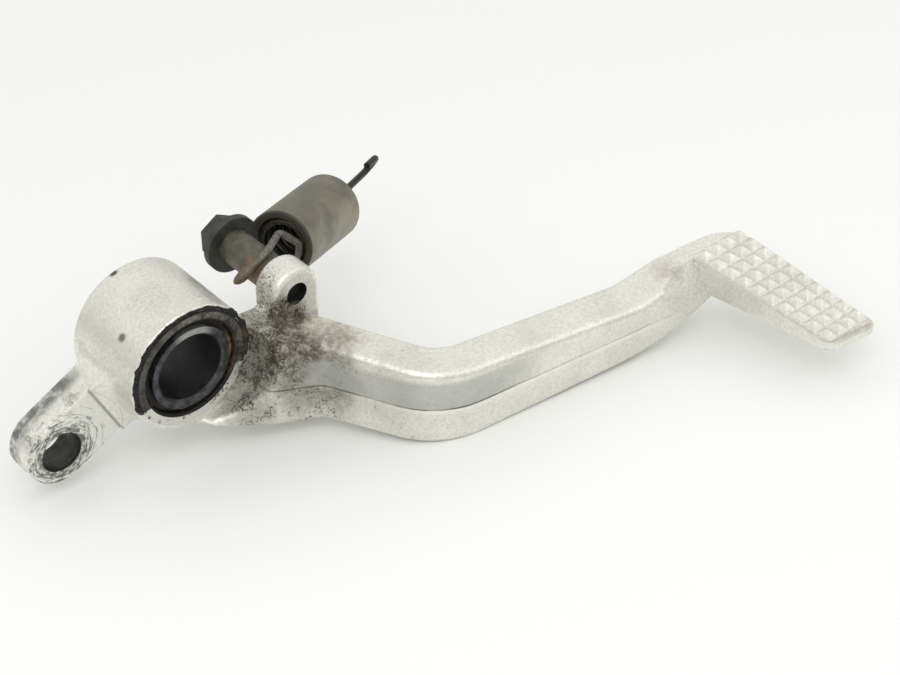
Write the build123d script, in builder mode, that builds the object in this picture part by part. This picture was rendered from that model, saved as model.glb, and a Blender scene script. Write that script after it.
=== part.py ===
"""Rear brake pedal: cast lever with its pivot sleeve, bush, dust seals, spring post and return spring."""
import os
from math import cos, radians, sin, sqrt, tan

from build123d import *

os.makedirs("parts", exist_ok=True)

# Frame: the origin is on the pivot axis inside the hub. Y is that axis and -Y the rider's side.
# X points forward to the foot pad and Z up.

# Pivot fit, from the frame bolt outward
sleeve_bore = 20.0
sleeve_wall = 2.5
sleeve_stand = 0.2
sleeve_edge = 0.7
running_gap = 0.04
bush_wall = 1.5
bush_recess = 1.4
seal_gap = 0.3
seal_width = 3.2
seal_depth = 3.5
seal_stand = 0.3
seal_edge = 0.5
hub_rim = 1.4
hub_front = 13.0
hub_back = 14.5
hub_edge = 0.5
hub_back_round = 0.8

# Forward arm, cast in two mould halves that meet at the parting plane
parting_z = -11.0
arm_width = 13.8
arm_draft = 4.0
arm_low_draft = 2.0
arm_root_x = 28.2
arm_root_back = 5.0
arm_out_angle = 63.7
arm_out_length = 48.0
arm_forward_angle = 6.9
arm_bend_radius = 17.5
arm_top_root = 2.2
arm_top_end = -4.2
arm_bottom_root = -23.4
arm_bottom_end = -21.5
arm_outer_round = 2.6
arm_inner_round = 1.0
arm_bottom_round = 1.2
belly_reach = 32.6
belly_radius = 62.0
nose_x = 3.5
nose_reach = 3.95
nose_round = 4.0
nose_join = 16.8
nose_blend = 8.0
heel_x = 0.0
heel_bottom = -20.2
heel_length = 28.0
heel_round = 0.4
root_back_x = 15.0
root_back_y = -5.0
root_blend = 1.6
shroud_gap = 0.5
shroud_flare = 3.0
shroud_round = 2.5

# Foot pad with cast pyramid tread
pad_reach = 85.2
pad_width_inner = 19.2
pad_width_outer = 16.8
pad_length = 57.6
pad_skew = 2.2
pad_top = -0.7
pad_thick_inner = 11.4
pad_thick_outer = 2.8
pad_inner_round = 11.0
pad_outer_round = 5.0
pad_far_round = 3.0
pad_under_round = 1.0
ramp_start = 22.0
ramp_end = 8.5
ramp_round = 12.0
tread_height = 1.9
tread_tip = 0.5
tread_floor = 0.1
tread_rows = 10
tread_columns = 4
tread_margin = 0.7
tread_inner_lip = 5.2
tread_end_lip = 1.6
column_pitch_inner = 4.8
column_pitch_outer = 4.05
scoop_drop = 8.7
scoop_width = 7.6
scoop_length = 17.0
scoop_run = 1.1
scoop_rise = 0.9

# Rear arm for the master cylinder's clevis
rear_hole_x = -35.5
rear_hole_z = -16.6
rear_hole = 12.0
rear_boss_radius = 10.0
rear_front_y = -2.8
rear_thick = 10.4
rear_mill = 0.8
rear_mill_reach = 16.0
rear_edge = 0.8
rear_blend = 5.5

# Ear that carries the spring post
ear_x = 35.7
ear_z = 6.3
ear_radius = 7.8
ear_thick = 9.0
ear_round = 1.8
ear_back_round = 1.4
ear_hole = 6.6
ear_drop = 12.0
ear_foot_drop = 16.0
ear_blend = 2.5

# Spring post, a flange-headed shoulder screw
thread_gap = 0.05
post_shoulder = 10.2
post_length = 19.5
post_thread_length = 6.5
post_flange = 17.2
post_flange_thick = 2.2
post_hex = 11.4
post_hex_height = 6.2
post_hex_bevel = 1.1
post_hex_turn = 30.0

# Return spring and the tube over it
spring_wire = 2.1
spring_cross_y = 5.0
coil_radius = 6.2
coil_turns = 7.25
coil_pitch = 3.8
coil_start = -0.5
tube_heading = 26.4
tube_fall = 14.8
tube_start = 14.6
tube_outer = 19.9
tube_gap = 0.45
tube_length = 33.2
tube_edge = 0.5
hook_gap = 0.3
hook_wrap_from = 78.0
hook_wrap_to = 128.0
hook_y = -1.2
hook_tip = 10.2
hook_tip_shift = 2.4
hook_reach = 11.6
hook_shift = 8.3
hook_bend = 3.8
hook_entry = 2.2
hook_entry_bend = 3.0
tail_lead = 5.0
tail_entry = 2.8
tail_entry_bend = 1.9
tail_root_bend = 2.4
tail_fall = 10.0
tail_length = 26.7
tail_hook_width = 7.0
tail_hook_return = 8.3
tail_hook_heading = -48.8
tail_hook_rise = 58.0

sleeve_radius = sleeve_bore / 2 + sleeve_wall
sleeve_front = hub_front + sleeve_stand
sleeve_back = hub_back + sleeve_stand
bush_inner = sleeve_radius + running_gap
bush_outer = bush_inner + bush_wall
bush_front = hub_front - bush_recess
bush_back = hub_back - bush_recess
seal_inner = bush_outer + seal_gap
seal_outer = seal_inner + seal_width
seal_front = hub_front - seal_depth
seal_back = hub_back - seal_depth
hub_radius = seal_outer + hub_rim

# Centre line of the arm, seen from above
out_dir = Vector(cos(radians(arm_out_angle)), -sin(radians(arm_out_angle)))
out_side = Vector(-out_dir.Y, out_dir.X)
forward_dir = Vector(cos(radians(arm_forward_angle)), -sin(radians(arm_forward_angle)))
forward_side = Vector(-forward_dir.Y, forward_dir.X)
arm_half = arm_width / 2
arm_root = Vector(arm_root_x, -hub_front)
arm_inside = arm_root - out_dir * arm_root_back
arm_bend = arm_root + out_dir * arm_out_length
pad_near_x = arm_bend.X + pad_reach
arm_run = pad_reach / forward_dir.X
pad_near = arm_bend + forward_dir * arm_run
arm_end = pad_near + forward_dir * (pad_width_inner / 2)
nose_point = arm_root + out_dir * nose_join
nose_outside = nose_point - out_side * arm_half
root_inside = arm_inside + out_side * arm_half

# Corners of the pad
pad_inset = (pad_top - parting_z) * tan(radians(arm_draft))
pad_corner_near = pad_near + forward_side * (arm_half - pad_inset)
pad_corner_far = pad_corner_near + forward_dir * (pad_width_inner / forward_dir.X)
pad_outer_y = pad_corner_near.Y - pad_length
pad_end_near = Vector(pad_near_x, pad_outer_y)
pad_end_far = Vector(pad_end_near.X + pad_width_outer, pad_outer_y - pad_skew)
ramp_start_x = pad_near_x - ramp_start
ramp_end_x = pad_near_x - ramp_end
belly_x = pad_near_x - belly_reach
arm_top_slope = (arm_top_end - arm_top_root) / (ramp_start_x - arm_root_x)
arm_top_back = arm_top_root - arm_top_slope * (arm_root_x + hub_radius)
arm_bottom_slope = (arm_bottom_end - arm_bottom_root) / (belly_x - arm_root_x)
arm_bottom_back = arm_bottom_root - arm_bottom_slope * (arm_root_x + hub_radius)

# Tread grooves: rows run along X, columns fan out along Y
tread_inner_y = pad_corner_near.Y - tread_inner_lip
tread_outer_y = pad_outer_y + tread_end_lip
row_pitch = (tread_inner_y - tread_outer_y) / tread_rows
groove_depth = tread_height - tread_floor
groove_over = 1.4
under_slope = (pad_thick_outer - pad_thick_inner) / pad_length
under_inner_y = pad_corner_near.Y + pad_skew
under_outer_y = pad_outer_y - 2 * pad_skew
fan_inner_y = pad_corner_near.Y + row_pitch
fan_outer_y = pad_outer_y - row_pitch

# Direction of the rear arm from the pivot, and across it
rear_reach = sqrt(rear_hole_x**2 + rear_hole_z**2)
rear_dir = Vector(rear_hole_x / rear_reach, rear_hole_z / rear_reach)
rear_side = Vector(-rear_dir.Y, rear_dir.X)
rear_end = Vector(rear_hole_x, rear_hole_z)
mill_inner = rear_end - rear_dir * rear_mill_reach
mill_outer = rear_end + rear_dir * (2 * rear_boss_radius)
mill_half = rear_side * (2 * rear_boss_radius)

# Line of the return spring: it crosses the post and runs forward, inward and down
coil_dir = Vector(
    cos(radians(tube_fall)) * cos(radians(tube_heading)),
    cos(radians(tube_fall)) * sin(radians(tube_heading)),
    -sin(radians(tube_fall)),
)
coil_side = Vector(coil_dir.Y, -coil_dir.X, 0).normalized()
spring_cross = Vector(ear_x, spring_cross_y, ear_z)
tube_near = spring_cross + coil_dir * tube_start
tube_far = tube_near + coil_dir * tube_length
tube_inner = coil_radius + spring_wire / 2 + tube_gap
post_back_y = ear_thick - hub_front
post_flange_y = post_back_y + post_length
post_head_y = post_flange_y + post_flange_thick

# The pad with its tread, joined to the lever below
with BuildPart() as pad:
    with BuildSketch(Plane.XY.offset(pad_top)) as pad_plan:
        with BuildLine():
            Polyline((pad_near_x, pad_corner_near.Y), pad_corner_far, pad_end_far, pad_end_near, close=True)
        make_face()
        fillet(pad_plan.vertices().sort_by_distance(pad_corner_far)[0], pad_inner_round)
        fillet(pad_plan.vertices().sort_by_distance(pad_end_far)[0], pad_far_round)
        fillet(pad_plan.vertices().sort_by_distance(pad_end_near)[0], pad_outer_round)
    extrude(amount=-pad_thick_inner)
    # The underside rises toward the outer end
    with BuildSketch(Plane.YZ.offset(pad_near_x - pad_width_inner)):
        with BuildLine():
            Polyline(
                (under_inner_y, pad_top - pad_thick_inner + under_slope * pad_skew),
                (under_outer_y, pad_top - pad_thick_outer - under_slope * 2 * pad_skew),
                (under_outer_y, pad_top - 2 * pad_thick_inner),
                (under_inner_y, pad_top - 2 * pad_thick_inner),
                close=True,
            )
        make_face()
    extrude(amount=3 * pad_width_inner, mode=Mode.SUBTRACT)
    fillet(pad.faces().sort_by(Axis.Z)[0].edges(), pad_under_round)
    # A block on the pad, cut to pyramids by crossing grooves
    with BuildSketch(Plane.XY.offset(pad_top)):
        add(pad_plan.sketch_local)
        offset(amount=-tread_margin)
        with BuildLine():
            Polyline(
                (pad_end_near.X - pad_width_outer, pad_end_near.Y + tread_end_lip),
                pad_end_near + Vector(0, tread_end_lip),
                pad_end_far + Vector(0, tread_end_lip),
                (pad_end_far.X + pad_width_outer, pad_end_far.Y + tread_end_lip),
                (pad_end_far.X + pad_width_outer, pad_end_far.Y - tread_end_lip),
                (pad_end_near.X - pad_width_outer, pad_end_far.Y - tread_end_lip),
                close=True,
            )
        make_face(mode=Mode.SUBTRACT)
        with BuildLine():
            Polyline(
                (pad_near_x - pad_width_inner, tread_inner_y),
                (pad_corner_far.X + pad_width_inner, tread_inner_y),
                (pad_corner_far.X + pad_width_inner, tread_inner_y + pad_width_inner),
                (pad_near_x - pad_width_inner, tread_inner_y + pad_width_inner),
                close=True,
            )
        make_face(mode=Mode.SUBTRACT)
    extrude(amount=tread_height)
    row_half = (row_pitch - tread_tip) / 2 * groove_over
    groove_top = pad_top + tread_floor + groove_depth * groove_over
    with BuildSketch(Plane.YZ.offset(pad_near_x - pad_width_inner)):
        for row in range(tread_rows + 1):
            row_y = tread_inner_y - row * row_pitch
            with BuildLine():
                Polyline(
                    (row_y, pad_top + tread_floor),
                    (row_y + row_half, groove_top),
                    (row_y - row_half, groove_top),
                    close=True,
                )
            make_face()
    extrude(amount=3 * pad_width_inner, mode=Mode.SUBTRACT)
    for column in range(tread_columns + 1):
        inner_x = pad_near_x + tread_margin + column * column_pitch_inner
        outer_x = pad_end_near.X + tread_margin + column * column_pitch_outer
        fan_step = (outer_x - inner_x) / (pad_outer_y - pad_corner_near.Y)
        for end_y in (fan_inner_y, fan_outer_y):
            groove_x = inner_x + fan_step * (end_y - pad_corner_near.Y)
            pitch_here = column_pitch_inner if end_y == fan_inner_y else column_pitch_outer
            groove_half = (pitch_here - tread_tip) / 2 * groove_over
            with BuildSketch(Plane.XZ.offset(-end_y)):
                with BuildLine():
                    Polyline(
                        (groove_x, pad_top + tread_floor),
                        (groove_x + groove_half, groove_top),
                        (groove_x - groove_half, groove_top),
                        close=True,
                    )
                make_face()
        loft(ruled=True, mode=Mode.SUBTRACT)

# The ear for the spring post, with a foot that runs down into the arm's root
with BuildPart() as ear:
    with BuildSketch(Plane.XZ.offset(hub_front)) as ear_face:
        with Locations((ear_x, ear_z)):
            Circle(ear_radius)
        with BuildLine():
            Polyline(
                (ear_x - ear_radius, ear_z),
                (ear_x + ear_radius, ear_z),
                (ear_x + ear_radius, ear_z - ear_drop),
                (ear_x, ear_z - ear_foot_drop),
                (ear_x - ear_radius, ear_z - ear_foot_drop),
                close=True,
            )
        make_face()
    extrude(amount=-ear_thick)
    ear_edges = [edge for edge in ear.edges() if abs((edge % 0.5).Y) < 0.5 and (edge @ 0.5).Z > ear_z - ear_drop]
    fillet([edge for edge in ear_edges if (edge @ 0.5).Y < -hub_front + 0.1], ear_round)
    ear_edges = [edge for edge in ear.edges() if abs((edge % 0.5).Y) < 0.5 and (edge @ 0.5).Z > ear_z - ear_drop]
    fillet([edge for edge in ear_edges if (edge @ 0.5).Y > ear_thick - hub_front - 0.1], ear_back_round)

# The rear arm for the clevis
with BuildPart() as rear:
    with BuildSketch(Plane.XZ.offset(-rear_front_y)):
        with Locations(rear_end):
            Circle(rear_boss_radius)
        with BuildLine():
            Polyline(
                rear_end + rear_side * rear_boss_radius,
                rear_side * rear_boss_radius,
                rear_side * -rear_boss_radius,
                rear_end - rear_side * rear_boss_radius,
                close=True,
            )
        make_face()
    extrude(amount=-rear_thick)

# The arm, drawn on the parting plane and drafted both ways from it
with BuildPart() as lever:
    with BuildSketch(Plane.XY.offset(parting_z)) as plan:
        with BuildLine() as centre:
            Polyline(arm_inside, arm_bend, arm_end)
            fillet(centre.vertices().sort_by_distance(arm_bend)[0], arm_bend_radius)
        trace(line_width=arm_width)
        with BuildLine():
            Polyline(
                (heel_x, -hub_front),
                (nose_x, -hub_front - nose_reach),
                nose_outside,
                nose_point,
                root_inside,
                (root_back_x, root_back_y),
                (heel_x, root_back_y),
                close=True,
            )
        make_face()
        fillet(plan.vertices().sort_by_distance(nose_outside)[0], nose_blend)
        fillet(plan.vertices().sort_by_distance((nose_x, -hub_front - nose_reach, 0))[0], nose_round)
    extrude(amount=arm_top_back - parting_z, taper=arm_draft)
    extrude(to_extrude=plan.sketch, amount=arm_bottom_back - parting_z, taper=arm_low_draft)
    # The top falls along the arm and climbs a ramp onto the pad
    with BuildSketch(Plane.XZ) as top_side:
        with BuildLine() as top_line:
            Polyline(
                (-hub_radius, arm_top_back),
                (ramp_start_x, arm_top_end),
                (ramp_end_x, pad_top),
                (pad_corner_far.X, pad_top),
                (pad_corner_far.X, arm_top_back + hub_radius),
                (-hub_radius, arm_top_back + hub_radius),
                close=True,
            )
        make_face()
        fillet(top_side.vertices().sort_by_distance((ramp_start_x, arm_top_end, 0))[0], ramp_round)
        fillet(top_side.vertices().sort_by_distance((ramp_end_x, pad_top, 0))[0], ramp_round)
    extrude(amount=pad_corner_far.X, both=True, mode=Mode.SUBTRACT)
    # The underside rises a little along the arm, then sweeps up to the pad
    with BuildSketch(Plane.XZ):
        with BuildLine():
            sweep_end_x = arm_end.X + 1
            sweep_end_z = arm_bottom_end + belly_radius - sqrt(belly_radius**2 - (sweep_end_x - belly_x) ** 2)
            RadiusArc((belly_x, arm_bottom_end), (sweep_end_x, sweep_end_z), -belly_radius)
            Polyline(
                (sweep_end_x, sweep_end_z),
                (sweep_end_x, arm_bottom_back - 1),
                (-hub_radius, arm_bottom_back - 1),
                (-hub_radius, arm_bottom_back),
                (belly_x, arm_bottom_end),
            )
        make_face()
    extrude(amount=pad_corner_far.X, both=True, mode=Mode.SUBTRACT)
    # Cast edges are rounded, most on the outer top, and the parting line stays sharp
    level_edges = [edge for edge in lever.edges() if abs((edge % 0.5).Z) < 0.8 and abs((edge % 0.5).X) > 0.2]
    top_edges = [edge for edge in level_edges if (edge @ 0.5).Z > parting_z / 2]
    outer_edges = []
    inner_edges = []
    for edge in top_edges:
        middle = edge @ 0.5
        line_y = arm_root.Y + (middle.X - arm_root.X) * out_dir.Y / out_dir.X
        if middle.X > arm_bend.X:
            line_y = arm_bend.Y + (middle.X - arm_bend.X) * forward_dir.Y / forward_dir.X
        if middle.Y > line_y and middle.X > arm_root_x:
            inner_edges.append(edge)
        elif middle.Y < line_y and middle.Y < -hub_front - nose_reach / 2:
            outer_edges.append(edge)
    fillet(outer_edges, arm_outer_round)
    fillet(inner_edges, arm_inner_round)
    level_edges = [edge for edge in lever.edges() if abs((edge % 0.5).Z) < 0.8 and abs((edge % 0.5).X) > 0.2]
    low_edges = [edge for edge in level_edges if (edge @ 0.5).Z < parting_z - 2]
    low_edges = [edge for edge in low_edges if (edge @ 0.5).Y < -hub_front or (edge @ 0.5).X > root_back_x]
    fillet(low_edges, arm_bottom_round)
    # The root stands out past the hub as a wall that carries on the hub's rim
    with Locations(Plane.XZ.offset(hub_front)):
        Cone(
            hub_radius + shroud_gap,
            hub_radius + shroud_gap + arm_out_length * tan(radians(shroud_flare)),
            arm_out_length,
            rotation=(0, 0, 90),
            align=(Align.CENTER, Align.CENTER, Align.MIN),
            mode=Mode.SUBTRACT,
        )
    wall_edges = []
    for edge in lever.edges():
        middle = edge @ 0.5
        wall_radius = hub_radius + shroud_gap - (hub_front + middle.Y) * tan(radians(shroud_flare))
        if abs(Vector(middle.X, middle.Z).length - wall_radius) < 0.05 and middle.Y < -hub_front - 1:
            wall_edges.append(edge)
    fillet(wall_edges, shroud_round)
    # The underside rises to the heel under the hub
    with BuildSketch(Plane.XZ):
        with BuildLine():
            Polyline(
                (heel_x, heel_bottom),
                (heel_length, arm_bottom_back),
                (heel_x, arm_bottom_back),
                close=True,
            )
        make_face()
    extrude(amount=arm_out_length, both=True, mode=Mode.SUBTRACT)
    heel_slope = (arm_bottom_back - heel_bottom) / (heel_length - heel_x)
    heel_edges = []
    for edge in lever.edges().filter_by(GeomType.BSPLINE):
        middle = edge @ 0.5
        if abs(heel_bottom + heel_slope * (middle.X - heel_x) - middle.Z) < 0.02 and middle.Y < -hub_front - 1:
            heel_edges.append(edge)
    fillet(heel_edges, heel_round)
    # A facet on the outer side leads from the arm's top edge to the underside of the pad
    with BuildSketch(Plane.YZ.offset(pad_near_x)):
        with BuildLine():
            Polyline(
                (pad_near.Y, pad_top),
                (pad_near.Y - scoop_width, pad_top - scoop_drop),
                (pad_near.Y - 2 * scoop_width, pad_top + scoop_drop),
                close=True,
            )
        make_face()
    extrude(amount=2 * scoop_length, dir=(-scoop_length, -scoop_run, scoop_rise), mode=Mode.SUBTRACT)
    # The hub barrel
    with BuildSketch(Plane.YZ) as hub_section:
        with BuildLine():
            Polyline((-hub_front, 0), (-hub_front, hub_radius), (hub_back, hub_radius), (hub_back, 0), close=True)
        make_face()
        fillet(hub_section.vertices().sort_by_distance((hub_back, hub_radius, 0))[0], hub_back_round)
        fillet(hub_section.vertices().sort_by_distance((-hub_front, hub_radius, 0))[0], hub_edge)
    revolve(axis=Axis.Y)
    add(pad.part)
    add(ear.part)
    add(rear.part)
    # Fillets where the rear arm, the ear and the arm's root run into each other and the barrel
    rear_join = []
    ear_join = []
    for edge in lever.edges():
        middle = edge @ 0.5
        on_barrel = abs(Vector(middle.X, middle.Z).length - hub_radius) < 0.05
        if on_barrel and middle.X < heel_x - 1 and abs(middle.Y) < hub_front - 1:
            rear_join.append(edge)
        if abs(middle.Y + hub_front) < 0.02 and middle.X > ear_x - ear_radius - 1 and abs(middle.Z) < 4:
            if abs((edge % 0.5).Z) < 0.95:
                ear_join.append(edge)
    fillet(rear_join, rear_blend)
    fillet(ear_join, ear_blend)
    root_join = []
    for edge in lever.edges().filter_by(GeomType.LINE):
        middle = edge @ 0.5
        on_barrel = abs(Vector(middle.X, middle.Z).length - hub_radius) < 0.05
        if on_barrel and middle.X > root_back_x and middle.Z > 0 and abs((edge % 0.5).Y) > 0.95:
            root_join.append(edge)
    fillet(root_join, root_blend)
    # The face round the clevis hole is milled flat and leaves a step in the fillet
    with BuildSketch(Plane.XZ.offset(-rear_front_y - rear_mill)):
        with BuildLine():
            Polyline(
                mill_inner + mill_half,
                mill_outer + mill_half,
                mill_outer - mill_half,
                mill_inner - mill_half,
                close=True,
            )
        make_face()
    extrude(amount=hub_front, mode=Mode.SUBTRACT)
    mill_edges = []
    for edge in lever.edges():
        middle = edge @ 0.5
        past_step = Vector(middle.X, middle.Z).dot(rear_dir) > hub_radius
        along = abs(Vector((edge % 0.5).X, (edge % 0.5).Z).dot(rear_dir)) > 0.9
        if abs(middle.Y - rear_front_y - rear_mill) < 0.02 and past_step:
            if along or edge.geom_type == GeomType.CIRCLE:
                mill_edges.append(edge)
    fillet(mill_edges, rear_edge)
    # The bush bore with a counterbore at each end for the dust seals
    with BuildSketch(Plane.XY):
        with BuildLine():
            Polyline(
                (0, -hub_front - seal_depth),
                (seal_outer, -hub_front - seal_depth),
                (seal_outer, -seal_front),
                (bush_outer, -seal_front),
                (bush_outer, seal_back),
                (seal_outer, seal_back),
                (seal_outer, hub_back + seal_depth),
                (0, hub_back + seal_depth),
                close=True,
            )
        make_face()
    revolve(axis=Axis.Y, mode=Mode.SUBTRACT)
    # The post's hole in the ear and the clevis hole in the rear arm
    with BuildSketch(Plane.XZ.offset(hub_front)):
        with Locations((ear_x, ear_z)):
            Circle(ear_hole / 2)
    extrude(amount=-ear_thick, mode=Mode.SUBTRACT)
    with BuildSketch(Plane.XZ.offset(hub_front)):
        with Locations(rear_end):
            Circle(rear_hole / 2)
    extrude(amount=-2 * hub_front, mode=Mode.SUBTRACT)

lever.part.label = "pedal_lever"
export_step(lever.part, "parts/pedal_lever.step")

# The steel sleeve that the frame bolt clamps and the lever turns on
with BuildPart() as sleeve:
    with BuildSketch(Plane.XY) as sleeve_section:
        with BuildLine():
            Polyline(
                (sleeve_bore / 2, -sleeve_front),
                (sleeve_radius, -sleeve_front),
                (sleeve_radius, sleeve_back),
                (sleeve_bore / 2, sleeve_back),
                close=True,
            )
        make_face()
        chamfer(sleeve_section.vertices().sort_by_distance((sleeve_bore / 2, -sleeve_front, 0))[0], sleeve_edge)
        chamfer(sleeve_section.vertices().sort_by_distance((sleeve_bore / 2, sleeve_back, 0))[0], sleeve_edge)
    revolve(axis=Axis.Y)

sleeve.part.label = "pivot_sleeve"
export_step(sleeve.part, "parts/pivot_sleeve.step")

# The bronze bush pressed into the hub
with BuildPart() as bush:
    with BuildSketch(Plane.XY):
        with BuildLine():
            Polyline(
                (bush_inner, -bush_front),
                (bush_outer, -bush_front),
                (bush_outer, bush_back),
                (bush_inner, bush_back),
                close=True,
            )
        make_face()
    revolve(axis=Axis.Y)

bush.part.label = "pivot_bush"
export_step(bush.part, "parts/pivot_bush.step")

# Rubber dust seals in the counterbores
with BuildPart() as seal_a:
    with BuildSketch(Plane.XY) as seal_section:
        with BuildLine():
            Polyline(
                (seal_inner, -hub_front - seal_stand),
                (seal_outer, -hub_front - seal_stand),
                (seal_outer, -seal_front),
                (seal_inner, -seal_front),
                close=True,
            )
        make_face()
        chamfer(seal_section.vertices().sort_by_distance((seal_inner, -hub_front - seal_stand, 0))[0], seal_edge)
    revolve(axis=Axis.Y)

seal_a.part.label = "dust_seal_outer"
export_step(seal_a.part, "parts/dust_seal_outer.step")

with BuildPart() as seal_b:
    with BuildSketch(Plane.XY) as seal_back_section:
        with BuildLine():
            Polyline(
                (seal_inner, hub_back + seal_stand),
                (seal_outer, hub_back + seal_stand),
                (seal_outer, seal_back),
                (seal_inner, seal_back),
                close=True,
            )
        make_face()
        chamfer(seal_back_section.vertices().sort_by_distance((seal_inner, hub_back + seal_stand, 0))[0], seal_edge)
    revolve(axis=Axis.Y)

seal_b.part.label = "dust_seal_inner"
export_step(seal_b.part, "parts/dust_seal_inner.step")

# The spring post, screwed into the ear from the inner side
with BuildPart() as post:
    with BuildSketch(Plane.XY.offset(ear_z)):
        with BuildLine():
            Polyline(
                (ear_x, post_back_y - post_thread_length),
                (ear_x + ear_hole / 2 - thread_gap, post_back_y - post_thread_length),
                (ear_x + ear_hole / 2 - thread_gap, post_back_y),
                (ear_x + post_shoulder / 2, post_back_y),
                (ear_x + post_shoulder / 2, post_flange_y),
                (ear_x + post_flange / 2, post_flange_y),
                (ear_x + post_flange / 2, post_head_y),
                (ear_x, post_head_y),
                close=True,
            )
        make_face()
    revolve(axis=Axis((ear_x, 0, ear_z), (0, 1, 0)))
    with BuildSketch(Plane.XZ.offset(-post_head_y)):
        with Locations((ear_x, ear_z)):
            RegularPolygon(post_hex / 2, 6, major_radius=False, rotation=post_hex_turn)
    extrude(amount=-post_hex_height)
    chamfer(post.faces().sort_by(Axis.Y)[-1].edges(), post_hex_bevel)

post.part.label = "spring_post"
export_step(post.part, "parts/spring_post.step")

# The return spring: a hook over the post, the coil and a tail with a small hook
coil_plane = Plane(origin=tube_near + coil_dir * coil_start, x_dir=coil_side, z_dir=coil_dir)
coil = coil_plane * Helix(pitch=coil_pitch, height=coil_pitch * coil_turns, radius=coil_radius)
coil_first = coil @ 0
coil_last = coil @ 1
tail_root = coil_plane.origin + coil_dir * (coil_pitch * coil_turns + tail_lead)
tail_dir = Vector(
    cos(radians(tail_fall)) * cos(radians(tube_heading)),
    cos(radians(tail_fall)) * sin(radians(tube_heading)),
    -sin(radians(tail_fall)),
)
tail_up = Vector(
    cos(radians(tail_hook_rise)) * cos(radians(tail_hook_heading)),
    cos(radians(tail_hook_rise)) * sin(radians(tail_hook_heading)),
    sin(radians(tail_hook_rise)),
)
tail_up = (tail_up - tail_dir * tail_up.dot(tail_dir)).normalized()
tail_bend_point = tube_far + tail_dir * tail_length
tail_hook_bend = 0.495 * tail_hook_width
hook_seat = post_shoulder / 2 + spring_wire / 2 + hook_gap
wrap_middle = radians((hook_wrap_from + hook_wrap_to) / 2)
wrap_corner = hook_seat / cos(radians((hook_wrap_to - hook_wrap_from) / 2))
hook_corner = Vector(ear_x + wrap_corner * cos(wrap_middle), hook_y, ear_z + wrap_corner * sin(wrap_middle))
hook_end = hook_corner + Vector(
    -hook_tip * sin(radians(hook_wrap_to)),
    hook_tip_shift,
    hook_tip * cos(radians(hook_wrap_to)),
)
hook_front = hook_corner + Vector(
    hook_reach * sin(radians(hook_wrap_from)),
    hook_shift,
    -hook_reach * cos(radians(hook_wrap_from)),
)
with BuildLine() as hook:
    FilletPolyline(
        hook_end,
        hook_corner,
        hook_front,
        coil_first - (coil % 0) * hook_entry,
        coil_first,
        radius=[hook_seat, hook_bend, hook_entry_bend],
    )
with BuildLine() as tail:
    FilletPolyline(
        coil_last,
        coil_last + (coil % 1) * tail_entry,
        tail_root,
        tail_bend_point,
        tail_bend_point + tail_up * tail_hook_width,
        tail_bend_point + tail_up * tail_hook_width - tail_dir * tail_hook_return,
        radius=[tail_entry_bend, tail_root_bend, tail_hook_bend, tail_hook_bend],
    )
wire_path = Wire(list(hook.edges()) + list(coil.edges()) + list(tail.edges()))
with BuildPart() as spring:
    with BuildSketch(Plane(origin=wire_path @ 0, z_dir=wire_path % 0)):
        Circle(spring_wire / 2)
    sweep(path=wire_path)

spring.part.label = "return_spring"
export_step(spring.part, "parts/return_spring.step")

# The plastic tube over the coil
with BuildPart() as tube:
    with BuildSketch(Plane(origin=tube_near, x_dir=coil_side, z_dir=coil_dir)):
        Circle(tube_outer / 2)
        Circle(tube_inner, mode=Mode.SUBTRACT)
    extrude(amount=tube_length)
    chamfer(tube.edges().filter_by(GeomType.CIRCLE), tube_edge)

tube.part.label = "spring_sleeve"
export_step(tube.part, "parts/spring_sleeve.step")
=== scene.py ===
# %% [markdown]
# A rear brake pedal: a worn aluminium casting with its pivot sleeve, spring post and return spring.
# The solids come from CAD and already have their shapes, so this lesson is mostly about finishes.
# Each finish is built from procedural noise that is read at the object's own coordinates, in metres,
# so it stays on its piece when a joint moves.

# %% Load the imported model
from math import radians

import bpy
from mathutils import Matrix, Vector


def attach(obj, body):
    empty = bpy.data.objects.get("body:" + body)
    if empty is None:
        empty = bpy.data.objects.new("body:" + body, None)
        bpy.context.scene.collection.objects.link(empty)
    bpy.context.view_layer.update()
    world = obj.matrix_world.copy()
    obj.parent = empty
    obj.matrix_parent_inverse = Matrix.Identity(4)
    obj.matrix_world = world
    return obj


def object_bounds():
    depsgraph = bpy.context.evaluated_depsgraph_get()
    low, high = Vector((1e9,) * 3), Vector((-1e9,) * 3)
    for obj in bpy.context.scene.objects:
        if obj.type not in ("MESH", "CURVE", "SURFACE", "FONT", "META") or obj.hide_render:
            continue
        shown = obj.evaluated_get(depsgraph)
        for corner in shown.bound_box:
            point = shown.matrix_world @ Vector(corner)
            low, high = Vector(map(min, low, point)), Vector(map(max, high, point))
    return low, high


for name in ("Cube", "Light", "Camera"):
    if name in bpy.data.objects:
        bpy.data.objects.remove(bpy.data.objects[name])
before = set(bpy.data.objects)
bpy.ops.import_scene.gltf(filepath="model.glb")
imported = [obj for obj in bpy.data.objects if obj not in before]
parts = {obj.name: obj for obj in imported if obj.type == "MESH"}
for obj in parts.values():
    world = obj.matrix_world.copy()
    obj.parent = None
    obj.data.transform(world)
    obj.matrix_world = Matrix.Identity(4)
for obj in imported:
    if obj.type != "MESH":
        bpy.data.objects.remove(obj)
cad_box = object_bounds()
scene = bpy.context.scene
bpy.ops.object.select_all(action="DESELECT")
print("nodes", sorted(parts))

# %% [markdown]
# The picture was taken from the front left and above. A camera could be aimed at the part by hand,
# but here the view line and the focal length were fitted to the holes and corners of the part, so
# the camera is set from its three axes. The lens shift puts the optical centre above the middle.

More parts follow.
